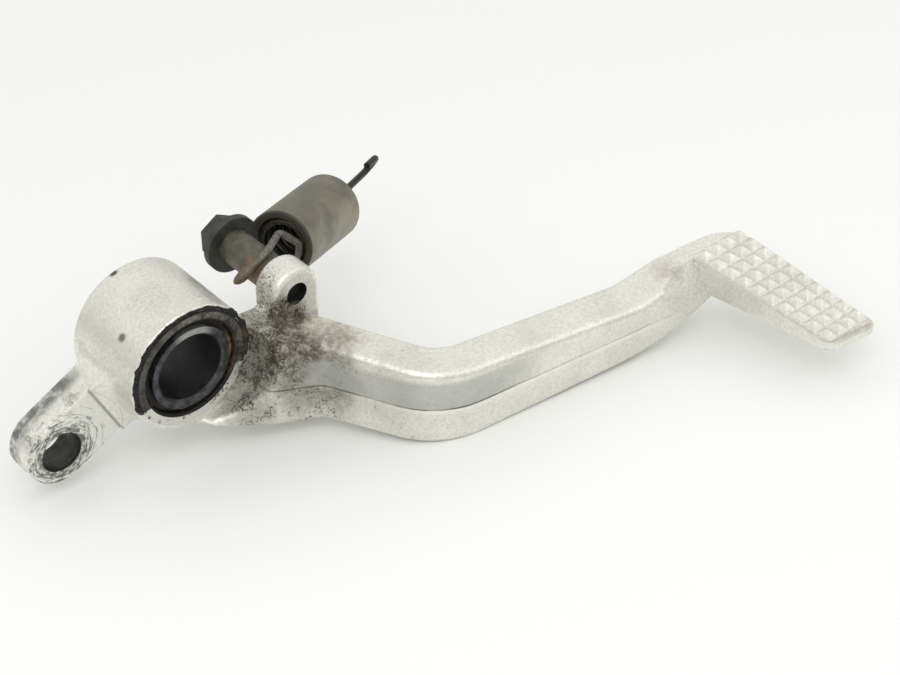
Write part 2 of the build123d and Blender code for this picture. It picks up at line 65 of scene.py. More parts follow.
# %% Camera
IMAGE_WIDTH = 900
FOCAL_PIXELS = 2268
CENTRE_ABOVE_MIDDLE = 37.5
SENSOR = 36.0
NEAREST = 0.01
CAMERA_PLACE = (-0.24686, -0.40133, 0.39058)
to_right = Vector((0.7548, -0.6559, 0.0)).normalized()
to_back = Vector((-0.5102, -0.5872, 0.6284)).normalized()
to_up = to_back.cross(to_right)
lens_data = bpy.data.cameras.new("pedal_camera")
lens_data.sensor_width = SENSOR
lens_data.lens = FOCAL_PIXELS / IMAGE_WIDTH * SENSOR
lens_data.shift_y = -CENTRE_ABOVE_MIDDLE / IMAGE_WIDTH
lens_data.clip_start = NEAREST
camera = bpy.data.objects.new("pedal_camera", lens_data)
scene.collection.objects.link(camera)
turn = Matrix((to_right, to_up, to_back)).transposed()
camera.matrix_world = Matrix.Translation(CAMERA_PLACE) @ turn.to_4x4()
scene.camera = camera
scene.view_settings.view_transform = "Standard"
print("lens", round(lens_data.lens, 1), "mm")


# %% [markdown]
# A material is a tree of nodes, and it gets long when every link is written out. Two small helpers
# add a node with its settings, and link a socket or set a plain value. A third one starts a material
# and hands back what every finish needs: its tree, its shader and the object's own coordinates.

# %% First helpers for node trees
def add_node(tree, kind, **settings):
    made = tree.nodes.new(kind)
    for name, value in settings.items():
        setattr(made, name, value)
    return made


def feed(tree, value, socket):
    """Links a socket, or sets a plain value."""
    if isinstance(value, bpy.types.NodeSocket):
        tree.links.new(value, socket)
    else:
        socket.default_value = value


def new_material(name):
    made = bpy.data.materials.new(name)
    made.use_nodes = True
    tree = made.node_tree
    shader = tree.nodes["Principled BSDF"]
    where = add_node(tree, "ShaderNodeTexCoord").outputs["Object"]
    return made, tree, shader, where


print("materials from the pack", sorted(material.name for material in bpy.data.materials))

# %% [markdown]
# The part lies on a white table. The pivot axis isn't level when the part lies on its arm, so the
# table leans a little in the part's own frame. It is pushed up along its normal until it touches the
# lowest point. Its back side is clear, so a low view can look past it.

# %% Table
TABLE_FALL = 0.17
TABLE_TURN = 0.12
TABLE_SIZE = 8.0
TABLE_WHITE = (0.93, 0.935, 0.925, 1)
table_normal = Vector((TABLE_FALL * TABLE_TURN, TABLE_FALL, 1.0)).normalized()
lowest = min(
    table_normal.dot(vertex.co) for part in parts.values() for vertex in part.data.vertices
)
bpy.ops.mesh.primitive_plane_add(size=TABLE_SIZE, location=(0, 0, 0))
table = bpy.context.object
table.name = "table"
lean = table_normal.to_track_quat("Z", "Y").to_matrix().to_4x4()
table.data.transform(Matrix.Translation(table_normal * lowest) @ lean)
table_look, tree, shader, _ = new_material("white_table")
shader.inputs["Base Color"].default_value = TABLE_WHITE
shader.inputs["Roughness"].default_value = 0.75
clear = add_node(tree, "ShaderNodeBsdfTransparent")
side = add_node(tree, "ShaderNodeNewGeometry").outputs["Backfacing"]
choose = add_node(tree, "ShaderNodeMixShader")
feed(tree, side, choose.inputs[0])
feed(tree, shader.outputs[0], choose.inputs[1])
feed(tree, clear.outputs[0], choose.inputs[2])
feed(tree, choose.outputs[0], tree.nodes["Material Output"].inputs["Surface"])
table.data.materials.append(table_look)
print("table touches at", round(lowest * 1000, 2), "mm")


# %% [markdown]
# The light is a white tent that is bright overhead and dimmer near the horizon, most of all on the
# side where the viewer stands. Bare metal shows what is around it, so the upright faces of the arm
# come out grey and its rounded edges come out as bright lines. A plain white world would make the
# metal look like plaster.

# %% Tent of light
def vector_maths(tree, operation, first, second=(0, 0, 0)):
    made = add_node(tree, "ShaderNodeVectorMath", operation=operation)
    feed(tree, first, made.inputs[0])
    feed(tree, second, made.inputs[1])
    gives_number = operation in ("LENGTH", "DISTANCE", "DOT_PRODUCT")
    return made.outputs["Value"] if gives_number else made.outputs[0]


def ease(tree, value, start, end, low=0.0, high=1.0):
    """A smooth step of value from start to end, put out between low and high."""
    made = add_node(tree, "ShaderNodeMapRange", interpolation_type="SMOOTHSTEP")
    feed(tree, value, made.inputs["Value"])
    feed(tree, start, made.inputs["From Min"])
    feed(tree, end, made.inputs["From Max"])
    feed(tree, low, made.inputs["To Min"])
    feed(tree, high, made.inputs["To Max"])
    return made.outputs["Result"]


HORIZON_FAR = 0.42
HORIZON_NEAR = 0.2
ZENITH = 0.93
VIEWER_SIDE = (-0.5, -0.866, 0.0)
TENT_WHITE = (1.0, 1.0, 0.985, 1)
world = bpy.data.worlds.new("tent")
scene.world = world
world.use_nodes = True
tree = world.node_tree
sky = tree.nodes["Background"]
aim = add_node(tree, "ShaderNodeTexCoord").outputs["Generated"]
height = vector_maths(tree, "DOT_PRODUCT", aim, table_normal)
near_side = ease(tree, vector_maths(tree, "DOT_PRODUCT", aim, VIEWER_SIDE), 0.2, 0.95)
horizon = ease(tree, near_side, 0.0, 1.0, low=HORIZON_FAR, high=HORIZON_NEAR)
feed(tree, ease(tree, height, 0.0, 0.5, low=horizon, high=ZENITH), sky.inputs["Strength"])
sky.inputs["Color"].default_value = TENT_WHITE
print("tent goes from", HORIZON_NEAR, "to", ZENITH)


# %% [markdown]
# Two wide lamps stand for panels of the tent that are lit from behind, one above the viewer and one
# to the right. They draw the bright line along the arm's edge. Small lamps would make hard shadows
# and white spots on the tread.

# %% Soft lamps
def soft_lamp(name, place, size, power):
    """A square lamp that looks at the middle of the part."""
    data = bpy.data.lights.new(name, "AREA")
    data.shape = "SQUARE"
    data.size = size
    data.energy = power
    lamp = bpy.data.objects.new(name, data)
    scene.collection.objects.link(lamp)
    lamp.location = place
    lamp.rotation_euler = (middle - Vector(place)).to_track_quat("-Z", "Y").to_euler()


middle = (cad_box[0] + cad_box[1]) / 2
soft_lamp("ceiling_panel", (-0.42, -0.42, 0.78), size=0.6, power=2.2)
soft_lamp("side_panel", (0.6, -0.45, 0.64), size=0.45, power=0.42)


# %% [markdown]
# Dirt on such a part isn't even. It gathers in corners and leaves the open faces clean. It could be
# painted on by hand, but a shared group can be placed many times with other values. The first group
# is a ragged patch: the distance from a place, disturbed by noise, so that its edge wanders.

# %% Ragged patch
def maths(tree, operation, first, second=0.0, clamp=False):
    made = add_node(tree, "ShaderNodeMath", operation=operation, use_clamp=clamp)
    feed(tree, first, made.inputs[0])
    feed(tree, second, made.inputs[1])
    return made.outputs[0]


def times(tree, first, *others):
    """The product of several values or masks."""
    for other in others:
        first = maths(tree, "MULTIPLY", first, other)
    return first


def noise(tree, where, scale, detail=4.0, rough=0.55, twist=0.0):
    made = add_node(tree, "ShaderNodeTexNoise")
    feed(tree, where, made.inputs["Vector"])
    feed(tree, scale, made.inputs["Scale"])
    made.inputs["Detail"].default_value = detail
    made.inputs["Roughness"].default_value = rough
    made.inputs["Distortion"].default_value = twist
    return made.outputs["Fac"]


def new_group(name, inputs, outputs):
    tree = bpy.data.node_groups.new(name, "ShaderNodeTree")
    for label, kind, value in inputs:
        socket = tree.interface.new_socket(label, in_out="INPUT", socket_type=kind)
        if value is not None:
            socket.default_value = value
    for label, kind in outputs:
        tree.interface.new_socket(label, in_out="OUTPUT", socket_type=kind)
    return tree, tree.nodes.new("NodeGroupInput").outputs, tree.nodes.new("NodeGroupOutput").inputs


PATCH_EDGE = 1.1
PATCH_FULL = 0.45
patch, given, result = new_group(
    "ragged_patch",
    [
        ("Place", "NodeSocketVector", None),
        ("Centre", "NodeSocketVector", None),
        ("Stretch", "NodeSocketVector", (1, 1, 1)),
        ("Radius", "NodeSocketFloat", 0.01),
        ("Ragged", "NodeSocketFloat", 0.6),
    ],
    [("Mask", "NodeSocketFloat")],
)
offset = vector_maths(patch, "SUBTRACT", given["Place"], given["Centre"])
reach = vector_maths(patch, "LENGTH", vector_maths(patch, "MULTIPLY", offset, given["Stretch"]))
ripple = maths(patch, "SUBTRACT", noise(patch, given["Place"], 170.0, detail=5.0, rough=0.6), 0.5)
ripple = times(patch, ripple, given["Ragged"])
apart = maths(patch, "ADD", maths(patch, "DIVIDE", reach, given["Radius"]), ripple)
feed(patch, ease(patch, apart, PATCH_EDGE, PATCH_FULL), result["Mask"])
print(patch.name, "has", len(patch.nodes), "nodes")

# %% [markdown]
# The second group is a field of grime specks. Fine noise makes the specks and coarse noise gathers
# them in clumps. More cover lowers the level that the noise has to reach, so specks grow and run
# together as they do in a real corner, where fixed dots would only fade in.

# %% Grime specks
CLEAN_LEVEL = 0.76
LEVEL_DROP = 0.36
SPECK_EDGE = 0.15
specks, given, result = new_group(
    "grime_specks",
    [
        ("Place", "NodeSocketVector", None),
        ("Scale", "NodeSocketFloat", 600.0),
        ("Cover", "NodeSocketFloat", 0.2),
    ],
    [("Mask", "NodeSocketFloat")],
)
field = noise(specks, given["Place"], given["Scale"], detail=7.0, rough=0.7)
clumps = noise(specks, given["Place"], times(specks, given["Scale"], 0.2), detail=4.0, rough=0.6)
clumps = times(specks, maths(specks, "SUBTRACT", clumps, 0.5), 0.6)
field = maths(specks, "ADD", field, clumps)
start = maths(specks, "SUBTRACT", CLEAN_LEVEL, times(specks, given["Cover"], LEVEL_DROP))
feed(specks, ease(specks, field, start, maths(specks, "ADD", start, SPECK_EDGE)), result["Mask"])
print(specks.name, "has", len(specks.nodes), "nodes")

# %% [markdown]
# The third group is the skin of a sand casting: a fine grain with small pits in it, and a slow
# change of tone over the whole part. It puts out a height for the bumps and a value for the colour,
# so both come from the same skin.

# %% Cast skin
PIT_DEPTH = 0.4
skin, given, result = new_group(
    "cast_skin",
    [("Place", "NodeSocketVector", None)],
    [("Height", "NodeSocketFloat"), ("Tone", "NodeSocketFloat")],
)
grain = noise(skin, given["Place"], 620.0, detail=6.0, rough=0.6)
pits = ease(skin, noise(skin, given["Place"], 1500.0, detail=2.0, rough=0.5), 0.62, 0.72)
feed(skin, maths(skin, "SUBTRACT", grain, times(skin, pits, PIT_DEPTH)), result["Height"])
feed(skin, noise(skin, given["Place"], 60.0, detail=7.0, rough=0.62), result["Tone"])
print(skin.name, "has", len(skin.nodes), "nodes")


# %% [markdown]
# The lever is bare cast aluminium with a satin face. Its colour is laid on in coats, from the clean
# skin up to the dirt, each with a mask that says where it goes. One image texture could hold them
# all, but coats stay sharp at any distance and each can be changed by itself.

# %% Cast aluminium, its skin
# The mix node has a pair of inputs for each kind of data, and these are the places of the colour ones.
MIX_UNDER = 6
MIX_OVER = 7
MIX_COLOUR = 2


def use_group(tree, group, **values):
    made = add_node(tree, "ShaderNodeGroup", node_tree=group)
    for label, value in values.items():
        feed(tree, value, made.inputs[label])
    return made.outputs


def paint(tree, under, mask, over, amount=1.0):
    """Lays one colour over another where the mask is, as far as the amount says."""
    made = add_node(tree, "ShaderNodeMix", data_type="RGBA", blend_type="MIX")
    feed(tree, mask if amount == 1.0 else times(tree, mask, amount), made.inputs["Factor"])
    feed(tree, under, made.inputs[MIX_UNDER])
    feed(tree, over, made.inputs[MIX_OVER])
    return made.outputs[MIX_COLOUR]


def split(tree, where):
    """The X, Y and Z of a place."""
    made = add_node(tree, "ShaderNodeSeparateXYZ")
    feed(tree, where, made.inputs[0])
    return made.outputs["X"], made.outputs["Y"], made.outputs["Z"]


GREY_SKIN = (0.8, 0.793, 0.737, 1)
PALE_SKIN = (0.9, 0.892, 0.835, 1)
GRAIN_GREY = (0.47, 0.45, 0.385, 1)
cast, tree, shader, where = new_material("cast_aluminium")
x, y, z = split(tree, where)
surface = use_group(tree, skin, Place=where)
colour = paint(tree, GREY_SKIN, ease(tree, surface["Tone"], 0.32, 0.68), PALE_SKIN)
grain = noise(tree, where, 1100.0, detail=5.0, rough=0.7)
colour = paint(tree, colour, ease(tree, grain, 0.36, 0.62, low=0.32, high=0.0), GRAIN_GREY)
print(cast.name, "has", len(tree.nodes), "nodes after its skin")


# %% [markdown]
# Years of road dirt sit in the corner between the hub, the ear and the arm, and thin out along the
# arm. Each dirty place is one ragged patch, given by its middle and its radius in millimetres, so a
# place can be moved or made larger by changing one number.

# %% Cast aluminium, where it is dirty
def metres(across, along, up):
    return (across / 1000, along / 1000, up / 1000)


def patch_at(tree, where, place, radius, stretch=(1, 1, 1), ragged=0.6):
    made = use_group(
        tree,
        patch,
        Place=where,
        Centre=metres(*place),
        Stretch=stretch,
        Radius=radius / 1000,
        Ragged=ragged,
    )
    return made["Mask"]


root_top = patch_at(tree, where, (34, -24, 2), 13, stretch=(1, 0.8, 1.4), ragged=1.0)
arm_top = patch_at(tree, where, (42, -42, 1), 14, stretch=(1, 1, 1.6), ragged=1.2)
hub_top = patch_at(tree, where, (-3.7, -1.2, 18.5), 8, ragged=1.4)
hub_edge = patch_at(tree, where, (9.4, -5.9, 16.4), 6)
ramp_spot = patch_at(tree, where, (126, -64.5, -1.5), 5, ragged=1.2)
valley = patch_at(tree, where, (30, -15.5, 1.5), 8)
ear_foot = patch_at(tree, where, (27.5, -8, 4), 10)
ear_front = patch_at(tree, where, (33.5, -13.2, -0.5), 6.5)
ear_flank = patch_at(tree, where, (29.5, -7, 9), 7)
ring_wall = patch_at(tree, where, (19, -17, -3), 14)
root_bump = patch_at(tree, where, (23.5, -25.5, -0.5), 12)
root_face = patch_at(tree, where, (27, -31, -7), 16)
arm_face = patch_at(tree, where, (38, -47, -8), 13)
low_root = patch_at(tree, where, (14, -18, -15.5), 11)
low_face = patch_at(tree, where, (26, -30, -17), 13)
low_run = patch_at(tree, where, (46, -56, -16), 18)
print(cast.name, "has", len(tree.nodes), "nodes after its patches")


# %% [markdown]
# Three thin coats lie in those places: tan stains of dried oil, a grey haze, and a dark brown film.
# The strongest patch at a point decides how thick a coat is there. Adding the patches up would make
# dark lenses where two of them meet. Noise then breaks the coat into blotches, as dirt dries in spots.

# %% Cast aluminium, its stains and film
def strongest(tree, *pairs):
    """The largest of several masks, each given with the amount that it stands for."""
    total = 0.0
    for mask, amount in pairs:
        total = maths(tree, "MAXIMUM", total, times(tree, mask, amount))
    return total


OIL_TAN = (0.4, 0.335, 0.21, 1)
HAZE_GREY = (0.4, 0.385, 0.335, 1)
FILM_BROWN = (0.12, 0.105, 0.078, 1)
THICK_FILM = 0.35
blotches = noise(tree, where, 480.0, detail=8.0, rough=0.74)
blotches = ease(tree, blotches, 0.38, 0.6, low=0.25, high=1.0)
stain = strongest(tree, (root_top, 0.68), (arm_top, 0.1), (hub_top, 0.16), (ramp_spot, 0.45))
colour = paint(tree, colour, times(tree, stain, blotches), OIL_TAN)
haze = strongest(
    tree,
    (ring_wall, 0.7),
    (root_face, 0.7),
    (root_bump, 0.6),
    (low_root, 0.4),
    (low_face, 0.12),
    (ear_foot, 0.15),
    (arm_face, 0.08),
)
haze_clouds = ease(tree, noise(tree, where, 150.0, detail=6.0), 0.3, 0.6, low=0.65, high=1.0)
colour = paint(tree, colour, times(tree, haze, haze_clouds), HAZE_GREY)
film = strongest(
    tree,
    (valley, 1.0),
    (ear_front, 0.75),
    (ear_foot, 0.3),
    (ring_wall, 0.52),
    (root_bump, 0.82),
    (ear_flank, 0.15),
    (root_face, 0.5),
    (low_root, 0.3),
    (low_face, 0.12),
    (arm_face, 0.14),
)
film_spots = maths(tree, "ADD", blotches, times(tree, film, THICK_FILM))
film = maths(tree, "MULTIPLY", film, film_spots, clamp=True)
colour = paint(tree, colour, film, FILM_BROWN)
print(cast.name, "has", len(tree.nodes), "nodes after its film")

# %% [markdown]
# Black specks of tar and brake dust lie on the film. They are the second shared group, and the same
# patches drive their cover. A small cover everywhere leaves a speck here and there on clean faces,
# and the top of the hub has a few tan ones.

# %% Cast aluminium, its specks
SPECK_BLACK = (0.034, 0.028, 0.02, 1)
SPECK_TAN = (0.3, 0.24, 0.15, 1)
COVER_EVERYWHERE = 0.17
cover = strongest(
    tree,
    (valley, 0.68),
    (ear_foot, 0.62),
    (ear_front, 0.6),
    (ring_wall, 0.74),
    (low_root, 0.58),
    (low_face, 0.42),
    (root_face, 0.46),
    (arm_face, 0.24),
    (hub_edge, 0.4),
    (low_run, 0.2),
    (ear_flank, 0.68),
    (root_bump, 0.52),
    (root_top, 0.3),
    (arm_top, 0.16),
)
cover = maths(tree, "ADD", cover, COVER_EVERYWHERE)
grime = use_group(tree, specks, Place=where, Scale=1500.0, Cover=cover)["Mask"]
colour = paint(tree, colour, grime, SPECK_BLACK, amount=0.88)
tan = use_group(tree, specks, Place=where, Scale=900.0, Cover=times(tree, hub_top, 0.5))["Mask"]
colour = paint(tree, colour, tan, SPECK_TAN, amount=0.55)
print(cast.name, "has", len(tree.nodes), "nodes after its specks")

# %% [markdown]
# The boot rubs the top of the arm bright. The upright face above the seam is painted a dull grey
# from the root to the bend, as painted shade for the dark reflection that face shows. In the tread
# the tips are rubbed and the grooves hold pale dust. Both lie between known heights, so plain steps
# along the axes are enough to find them.

# %% Cast aluminium, its painted shade above the seam and its dusty grooves
FACET_SHADE_GREY = (0.42, 0.425, 0.405, 1)
GROOVE_DUST = (0.52, 0.495, 0.42, 1)
# Painted shade: the upright face above the seam is painted grey for the dark reflection it shows.
facet_shade = times(
    tree,
    ease(tree, z, -0.011, -0.0105),
    ease(tree, z, -0.0012, -0.0036),
    ease(tree, x, 0.02, 0.032),
    ease(tree, x, 0.082, 0.062),
    ease(tree, surface["Tone"], 0.3, 0.7, low=0.85, high=0.6),
)
colour = paint(tree, colour, facet_shade, FACET_SHADE_GREY)
tread = times(tree, ease(tree, x, 0.124, 0.127), ease(tree, y, -0.066, -0.07))
grooves = times(tree, tread, ease(tree, z, 0.0006, -0.0005), ease(tree, z, -0.0009, -0.0007))
colour = paint(tree, colour, grooves, GROOVE_DUST, amount=0.28)
print(cast.name, "has", len(tree.nodes), "nodes after its dull faces")


# %% [markdown]
# The two halves of the mould met on one plane, and the seam still shows as a thin dark line round
# the arm. The ledge just under it is painted pale: a painted highlight where that edge catches the
# light. A groove could be cut into the mesh, but the line is less than a millimetre wide, so colour
# is enough. A little noise keeps it from being dead straight.

# %% Cast aluminium, its seam and the painted highlight under it
def off_by(tree, value, place):
    """How far a value is from a place, on either side."""
    return maths(tree, "ABSOLUTE", maths(tree, "SUBTRACT", value, place))


SEAM_Z = -0.011
SEAM_WANDER = 0.0005
SEAM_BROWN = (0.1, 0.09, 0.07, 1)
LEDGE_HIGHLIGHT = (0.96, 0.955, 0.93, 1)
wander = maths(tree, "SUBTRACT", noise(tree, where, 140.0, detail=3.0), 0.5)
seam_height = maths(tree, "ADD", z, times(tree, wander, SEAM_WANDER))
seam_end = ease(tree, x, 0.126, 0.112)
# A painted highlight: the pale ledge under the seam, where its edge catches the light.
ledge_highlight = times(
    tree,
    ease(tree, z, -0.0131, -0.0119),
    ease(tree, z, -0.0111, -0.0115),
    ease(tree, x, 0.034, 0.046),
    seam_end,
)
colour = paint(tree, colour, ledge_highlight, LEDGE_HIGHLIGHT, amount=0.5)
seam = times(
    tree,
    ease(tree, off_by(tree, seam_height, SEAM_Z), 0.00042, 0.0001),
    ease(tree, x, 0.013, 0.018),
    seam_end,
    ease(tree, noise(tree, where, 70.0, detail=4.0), 0.3, 0.56, low=0.35, high=1.0),
    ease(tree, x, 0.058, 0.082, low=0.95, high=0.3),
)
colour = paint(tree, colour, seam, SEAM_BROWN)
print(cast.name, "has", len(tree.nodes), "nodes after its seam")

# %% [markdown]
# The end of the rear arm was milled flat, so it is smoother and brighter than the casting, with a
# faint arc from the cutter's edge. Where the cutter stopped there is a step, painted as a dark line:
# painted shade along the step. The far edge of that arm has a dark grey oxide. The milled face lies
# on one plane, so its mask is the distance from that plane.

# %% Cast aluminium, its milled end
CLEVIS = metres(-35.5, 0, -16.6)
REAR_AIM = (-0.9059, 0.0, -0.4236)
MILL_Y = -0.002
STEP_ALONG = 0.02319
ARC_RADIUS = 0.0188
MILLED_BRIGHT = (0.86, 0.86, 0.83, 1)
OXIDE_GREY = (0.17, 0.175, 0.172, 1)
CUTTER_ARC_AND_STEP_SHADE = (0.15, 0.148, 0.135, 1)
on_rear_arm = ease(tree, x, -0.016, -0.0185)
milled = times(tree, ease(tree, off_by(tree, y, MILL_Y), 0.0002, 0.00005), on_rear_arm)
colour = paint(tree, colour, milled, MILLED_BRIGHT, amount=0.6)
oxide_clouds = noise(tree, where, 300.0, detail=7.0, rough=0.66)
oxide = times(
    tree,
    ease(tree, y, 0.0015, 0.0055),
    ease(tree, x, -0.021, -0.029),
    ease(tree, oxide_clouds, 0.36, 0.56, low=0.3, high=0.92),
)
colour = paint(tree, colour, oxide, OXIDE_GREY)
rear_along = vector_maths(tree, "DOT_PRODUCT", where, REAR_AIM)
# Painted shade: a dark line along the step where the cutter stopped.
step_shade = ease(tree, off_by(tree, rear_along, STEP_ALONG), 0.0006, 0.0001)
step_shade = times(tree, step_shade, ease(tree, y, -0.0016, -0.0019))
flat = vector_maths(tree, "MULTIPLY", where, (1, 0, 1))
from_clevis = vector_maths(tree, "SUBTRACT", flat, CLEVIS)
clevis_reach = vector_maths(tree, "LENGTH", from_clevis)
arc = ease(tree, off_by(tree, clevis_reach, ARC_RADIUS), 0.0003, 0.0001)
arc = times(tree, arc, ease(tree, y, -0.0019, -0.0023))
# The step's line is painted shade, and the faint arc is a real cutter mark.
colour = paint(tree, colour, strongest(tree, (step_shade, 0.5), (arc, 0.14)), CUTTER_ARC_AND_STEP_SHADE)
print(cast.name, "has", len(tree.nodes), "nodes after its milled end")

# %% [markdown]
# A clevis pin has turned in the rear hole for years. Its scuffs run round the hole, so their noise is
# read at the direction from the hole and the distance from it, and comes out as broken rings. Plain
# noise would give blots. The sides of that arm have greasy smears instead.

# %% Cast aluminium, its scuffs
RINGS_PER_METRE = 1100.0
ROUND_STRETCH = (2.6, 0, 2.6)
SCUFF_BLACK = (0.085, 0.083, 0.074, 1)
SMEAR_GREY = (0.2, 0.2, 0.185, 1)
rings = add_node(tree, "ShaderNodeCombineXYZ")
feed(tree, times(tree, clevis_reach, RINGS_PER_METRE), rings.inputs["Y"])
heading = vector_maths(tree, "MULTIPLY", vector_maths(tree, "NORMALIZE", from_clevis), ROUND_STRETCH)
round_place = vector_maths(tree, "ADD", heading, rings.outputs[0])
scuffs = noise(tree, round_place, 1.0, detail=6.0, rough=0.72, twist=0.6)
near_hole = ease(tree, clevis_reach, 0.0055, 0.017, low=0.1, high=-0.16)
scuffs = times(
    tree,
    ease(tree, maths(tree, "ADD", scuffs, near_hole), 0.47, 0.62, low=0.0, high=0.85),
    ease(tree, rear_along, 0.0235, 0.026),
    ease(tree, y, -0.0009, -0.0016),
)
smears = noise(tree, where, 260.0, detail=8.0, rough=0.72, twist=0.8)
smears = times(
    tree,
    ease(tree, smears, 0.5, 0.62, low=0.0, high=0.6),
    ease(tree, x, -0.021, -0.027),
    ease(tree, y, -0.0019, -0.0012),
)
colour = paint(tree, colour, smears, SMEAR_GREY)
colour = paint(tree, colour, scuffs, SCUFF_BLACK)
print(cast.name, "has", len(tree.nodes), "nodes after its scuffs")


# %% [markdown]
# Two small marks on the hub are easy to spot in the picture, so they get a patch each. The bores of
# the ear and of the rear arm are painted near black, as painted shade inside the holes. A bore is
# found by the distance from its axis, which works however the mesh is cut into faces.

# %% Cast aluminium, its marks and bores
HOLE_EDGE = 0.00012
HOLE_FULL = 0.00002


def round_hole(tree, where, across, up, radius):
    """One inside a hole along Y, zero outside it, with sizes in millimetres."""
    flat = vector_maths(tree, "MULTIPLY", where, (1, 0, 1))
    away = vector_maths(tree, "DISTANCE", flat, metres(across, 0, up))
    return ease(tree, away, radius / 1000 + HOLE_EDGE, radius / 1000 + HOLE_FULL)


MARK_BLACK = (0.09, 0.09, 0.085, 1)
BORE_SHADE = (0.03, 0.03, 0.027, 1)
smudge = patch_at(tree, where, (-14.3, -3.7, 12.2), 1.5, stretch=(1.3, 1, 0.6), ragged=1.6)
nick = patch_at(tree, where, (-4.6, 13.4, 18.3), 1.0, stretch=(0.7, 1, 1), ragged=1.0)
colour = paint(tree, colour, strongest(tree, (smudge, 0.8), (nick, 0.95)), MARK_BLACK)
# Painted shade: the insides of the bores are painted near black.
ear_bore = round_hole(tree, where, 35.7, 6.3, radius=3.3)
clevis_bore = round_hole(tree, where, -35.5, -16.6, radius=6.0)
colour = paint(tree, colour, strongest(tree, (ear_bore, 0.95), (clevis_bore, 0.95)), BORE_SHADE)
print(cast.name, "has", len(tree.nodes), "nodes after its bores")


# %% [markdown]
# Clean aluminium is a metal and dirt isn't, so the metal share falls and the roughness rises where
# the film and the specks lie. The milled face is smoother than the cast skin, and its rounded rim is
# rougher. The grain and the dirt also stand out a little as bumps.

# %% Cast aluminium, its shine
def bumps(tree, shader, height, strength, distance):
    made = add_node(tree, "ShaderNodeBump")
    made.inputs["Strength"].default_value = strength
    made.inputs["Distance"].default_value = distance
    feed(tree, height, made.inputs["Height"])
    feed(tree, made.outputs["Normal"], shader.inputs["Normal"])


def dress(node, material):
    mesh = parts[node].data
    mesh.materials.clear()
    mesh.materials.append(material)
    print(node, "wears", material.name, "with", len(material.node_tree.nodes), "nodes")


RIM_Y = -0.0015
feed(tree, colour, shader.inputs["Base Color"])
shader.inputs["Specular IOR Level"].default_value = 0.2
soil = maths(tree, "MAXIMUM", grime, film)
feed(tree, ease(tree, soil, 0.0, 1.0, low=0.85, high=0.1), shader.inputs["Metallic"])
milled_rim = times(tree, ease(tree, off_by(tree, y, RIM_Y), 0.0007, 0.0004), on_rear_arm)
rough = ease(tree, surface["Height"], 0.2, 0.8, low=0.31, high=0.46)
rough = maths(tree, "SUBTRACT", rough, times(tree, milled, 0.08))
rough = maths(tree, "ADD", rough, times(tree, milled_rim, 0.3))
rough = maths(tree, "ADD", rough, times(tree, soil, 0.3))
feed(tree, rough, shader.inputs["Roughness"])
relief = maths(tree, "ADD", surface["Height"], times(tree, soil, 0.5))
bumps(tree, shader, relief, strength=0.45, distance=0.0004)
dress("pedal_lever", cast)

# %% [markdown]
# The pivot shows as rings. The innermost one is the steel sleeve that the frame bolt clamps. It is
# dark with old grease, the top of its end is painted light as a painted highlight, and its bore is
# black. Scuffs are plain noise between two greys.

# %% Pivot sleeve
STEEL_DARK = (0.03, 0.03, 0.03, 1)
STEEL_GREY = (0.11, 0.115, 0.125, 1)
STEEL_HIGHLIGHT = (0.42, 0.42, 0.4, 1)
SLEEVE_BLACK = (0.012, 0.012, 0.011, 1)
steel, tree, shader, where = new_material("worn_steel")
scuff = noise(tree, where, 300.0, detail=6.0, rough=0.65)
colour = paint(tree, STEEL_DARK, ease(tree, scuff, 0.35, 0.7), STEEL_GREY)
# A painted highlight on the top of the sleeve's end.
top_highlight = patch_at(tree, where, (2, -13.2, 11.2), 6.5, ragged=0.8)
colour = paint(tree, colour, top_highlight, STEEL_HIGHLIGHT, amount=0.8)
bore_wall = round_hole(tree, where, 0, 0, radius=10.0)
colour = paint(tree, colour, bore_wall, SLEEVE_BLACK, amount=0.9)
feed(tree, colour, shader.inputs["Base Color"])
feed(tree, ease(tree, bore_wall, 0.0, 1.0, low=0.85, high=0.2), shader.inputs["Metallic"])
feed(tree, ease(tree, scuff, 0.3, 0.7, low=0.32, high=0.55), shader.inputs["Roughness"])
dress("pivot_sleeve", steel)

# %% [markdown]
# Round the sleeve is a sliver of the bronze bush. Black grease covers most of it, and bare bronze
# glints through at the right and at the bottom, so two patches let the metal's own colour out.

# %% Pivot bush
GREASE_BLACK = (0.025, 0.021, 0.017, 1)
BARE_BRONZE = (0.6, 0.37, 0.15, 1)
bronze, tree, shader, where = new_material("greasy_bronze")
smear = noise(tree, where, 260.0, detail=7.0, rough=0.7)
glint_right = patch_at(tree, where, (13, -12, -5), 10)
glint_low = patch_at(tree, where, (2, -12, -14), 7)
glints = strongest(tree, (glint_right, 1.0), (glint_low, 1.0))
glints = times(tree, glints, ease(tree, smear, 0.42, 0.56))
feed(tree, paint(tree, GREASE_BLACK, glints, BARE_BRONZE), shader.inputs["Base Color"])
shader.inputs["Metallic"].default_value = 0.7
feed(tree, ease(tree, smear, 0.4, 0.7, low=0.6, high=0.35), shader.inputs["Roughness"])
dress("pivot_bush", bronze)

# %% [markdown]
# The outermost ring is a rubber dust seal. The rubber has gone hard, so it is dusty and cracked, most
# of all at the top of its lip. Low down it has worn away and the metal behind it shows pale, and at
# the right it is brown with rust. A torn edge is a height with noise added to it.

